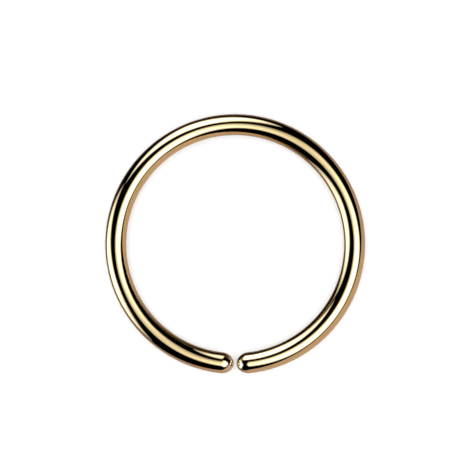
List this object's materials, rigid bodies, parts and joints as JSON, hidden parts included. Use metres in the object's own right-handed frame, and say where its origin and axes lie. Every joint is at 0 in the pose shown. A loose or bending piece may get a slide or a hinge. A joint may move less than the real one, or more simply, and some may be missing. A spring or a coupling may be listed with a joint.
{
  "type": "seamless hoop ring",
  "caption": "Plain hoop ring bent from one round wire into an almost closed circle, with rounded ends that nearly meet, worn through a piercing.",
  "frame": {"origin": "centre of the hoop, on the plane that it rests on when it lies on its side", "axes": "+Z along the hoop's own axis, away from the surface it lies on; -Y from the centre to the gap between the ends; +X completes the frame"},
  "size_m": [0.0098, 0.0098, 0.0008],
  "materials": {
    "polished_gold": "mirror-polished gold-coloured coating on steel"
  },
  "bodies": {
    "root": {"hoop_wire": "polished_gold"}
  },
  "joints": []
}
